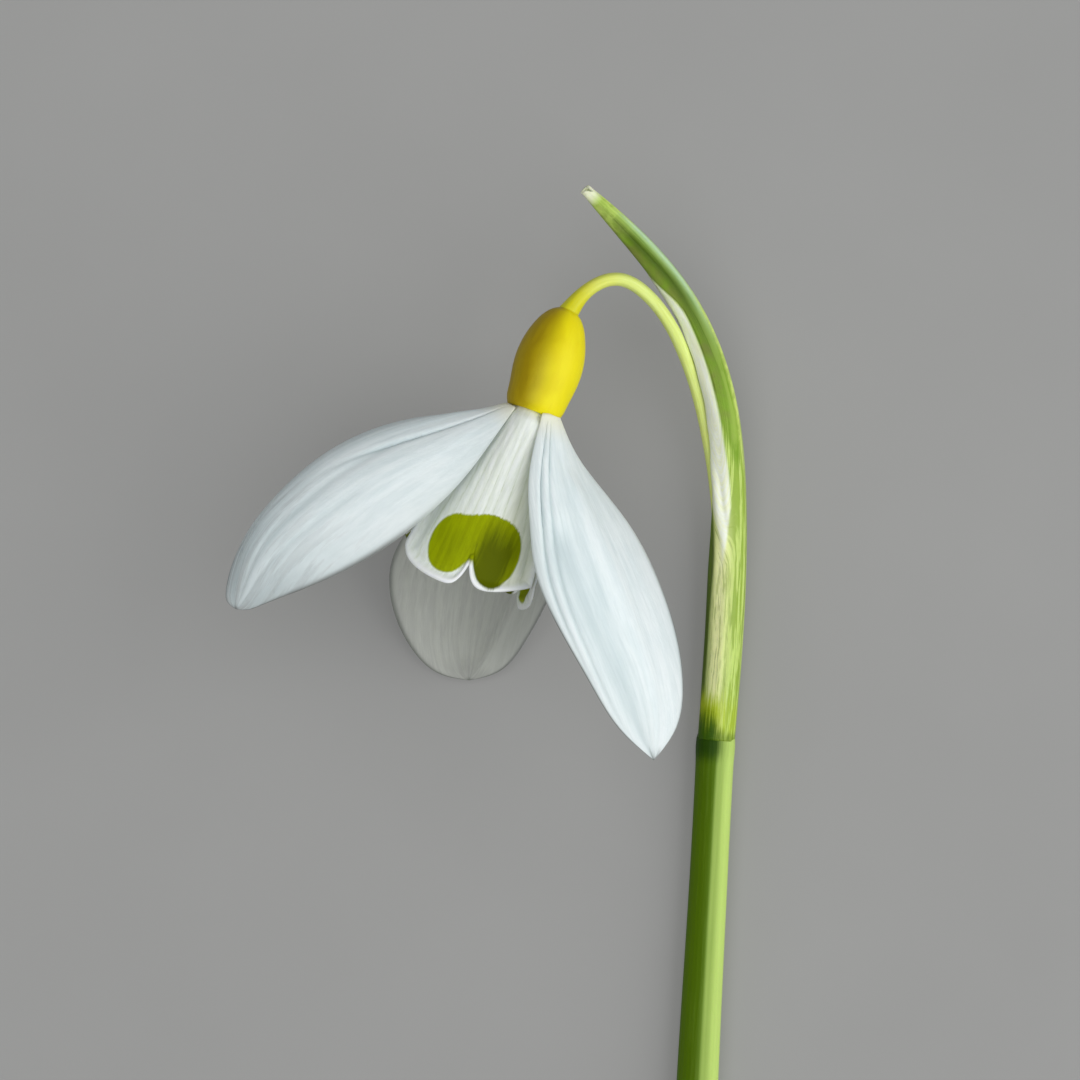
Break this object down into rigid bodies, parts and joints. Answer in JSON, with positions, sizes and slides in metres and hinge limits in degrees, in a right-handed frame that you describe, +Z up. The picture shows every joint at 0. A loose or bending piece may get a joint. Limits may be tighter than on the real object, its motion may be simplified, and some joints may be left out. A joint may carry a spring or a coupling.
{
  "type": "snowdrop flower",
  "caption": "Snowdrop flower picked with its stalk and lying down, with white outer petals, green-marked inner petals, a yellow ovary and an arching green sheath.",
  "frame": {"origin": "centre of the bottom face of the bounding box, on the surface that the flower lies on", "axes": "+Y along the stalk, from its cut end to the tip of the sheath; +X towards the stalk and away from the flower; +Z up from the surface, towards the open view of the flower"},
  "size_m": [0.037, 0.1015, 0.0211],
  "materials": {
    "scape": "smooth, slightly waxy",
    "spathe": "thin, papery between two green keels",
    "pedicel": "smooth, slightly waxy",
    "ovary": "smooth, satin",
    "outer_tepal": "matte, finely ribbed, translucent",
    "inner_tepal": "matte, with a green mark at the notch",
    "anther": "matte, grained",
    "style": "smooth"
  },
  "bodies": {
    "root": {"scape": "scape", "spathe": "spathe", "pedicel": "pedicel", "ovary": "ovary", "outer_tepal_left": "outer_tepal", "outer_tepal_right": "outer_tepal", "outer_tepal_back": "outer_tepal", "inner_tepal_front": "inner_tepal", "inner_tepal_back_left": "inner_tepal", "inner_tepal_back_right": "inner_tepal", "stamen_1": "anther", "stamen_2": "anther", "stamen_3": "anther", "stamen_4": "anther", "stamen_5": "anther", "stamen_6": "anther", "style": "style"}
  },
  "joints": []
}
